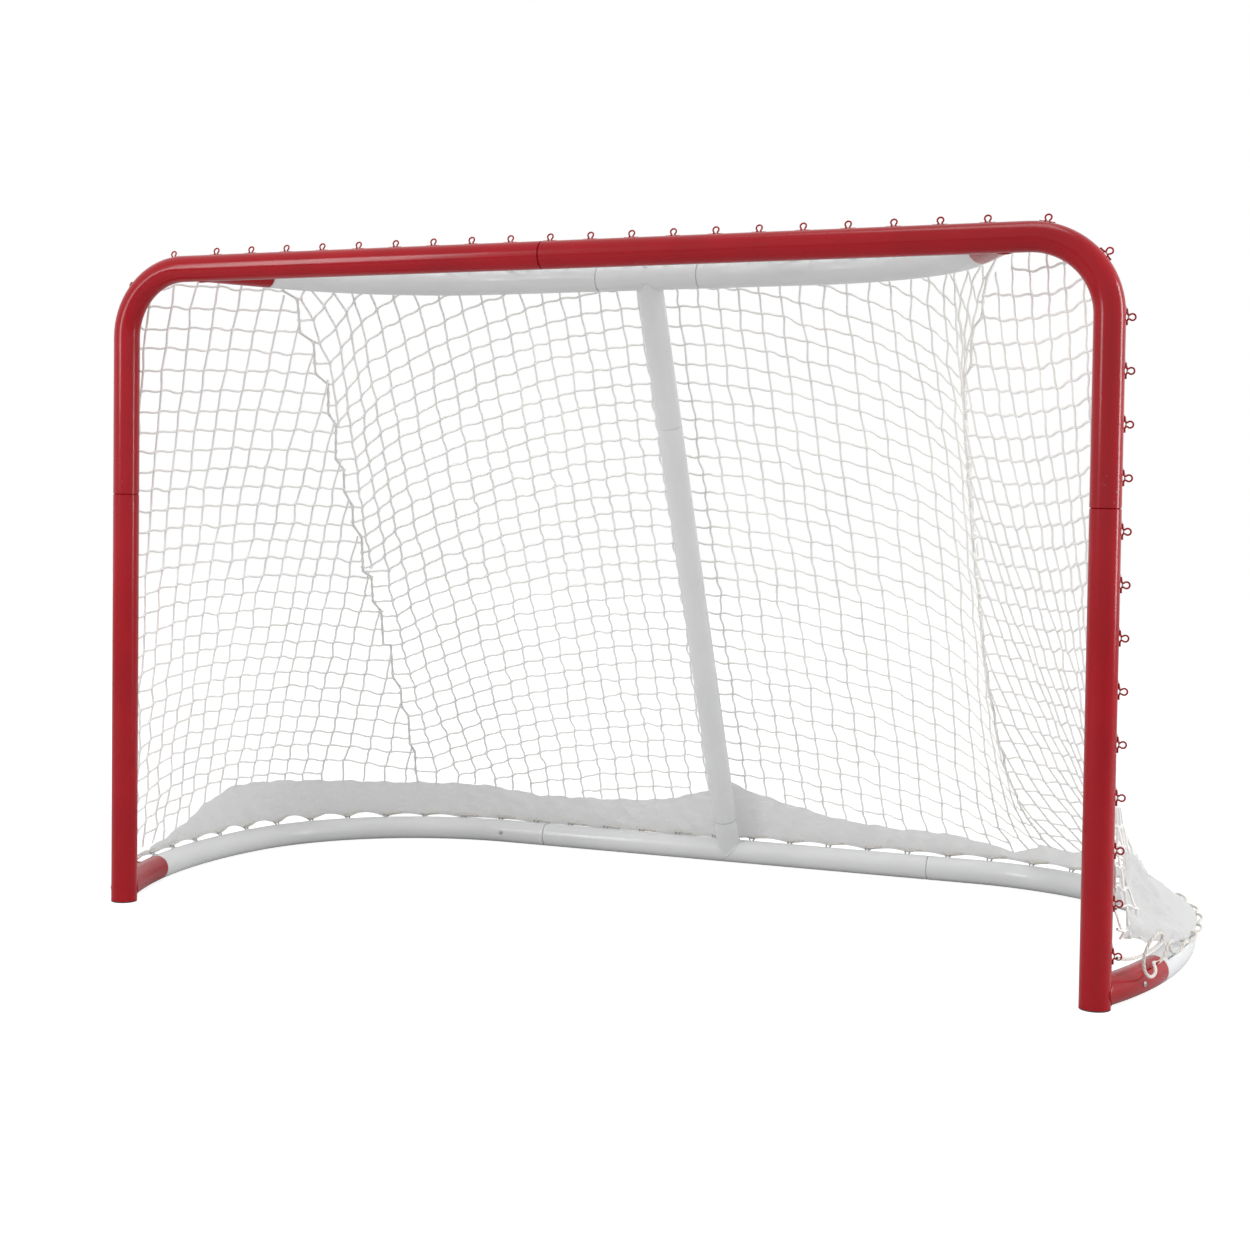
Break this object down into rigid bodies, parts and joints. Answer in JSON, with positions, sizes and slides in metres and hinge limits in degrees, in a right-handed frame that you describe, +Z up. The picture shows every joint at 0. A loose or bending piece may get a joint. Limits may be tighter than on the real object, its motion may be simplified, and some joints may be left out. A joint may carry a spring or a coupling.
{
  "type": "ice hockey goal",
  "caption": "Knock-down steel-tube ice hockey goal: red mouth frame, white curved base and shelf, leaning centre post, laced knotted net and cloth skirt.",
  "frame": {"origin": "on the floor under the middle of the goal's outer box", "axes": "+X from the left post to the right post as the shooter sees them, +Y back into the goal, +Z up"},
  "size_m": [2.109, 1.0208, 1.2848],
  "materials": {
    "red_paint": "gloss red powder coat",
    "white_paint": "semi-gloss white powder coat",
    "zinc_wire": "dull zinc-plated wire",
    "net_twine": "knotted cream-white nylon twine",
    "skirt_cloth": "thin white woven nylon",
    "lacing_rope": "twisted cream rope",
    "black_plastic": "matt moulded plastic",
    "screw_steel": "plain steel"
  },
  "bodies": {
    "root": {"base_centre_loops": "zinc_wire", "base_centre_tube": "white_paint", "base_lacing": "lacing_rope", "base_left_loops": "zinc_wire", "base_left_tube": "white_paint", "base_right_loops": "zinc_wire", "base_right_tube": "white_paint", "centre_post_socket": "white_paint", "centre_post_tube": "white_paint", "centre_post_upper": "white_paint", "frame_lacing": "lacing_rope", "joint_screws": "screw_steel", "left_base_stub": "red_paint", "left_corner_loops": "red_paint", "left_corner_tube": "red_paint", "left_foot_plug": "black_plastic", "left_lower_post": "red_paint", "left_post_loops": "red_paint", "left_shelf_stub": "red_paint", "left_stub_loops": "red_paint", "net_back": "net_twine", "net_left": "net_twine", "net_right": "net_twine", "net_top": "net_twine", "right_base_stub": "red_paint", "right_corner_loops": "red_paint", "right_corner_tube": "red_paint", "right_foot_plug": "black_plastic", "right_lower_post": "red_paint", "right_post_loops": "red_paint", "right_shelf_stub": "red_paint", "right_stub_loops": "red_paint", "seam_cord_left": "lacing_rope", "seam_cord_right": "lacing_rope", "shelf_centre_tube": "white_paint", "shelf_left_tube": "white_paint", "shelf_right_tube": "white_paint", "skirt_back": "skirt_cloth", "skirt_left": "skirt_cloth", "skirt_right": "skirt_cloth"}
  },
  "joints": []
}
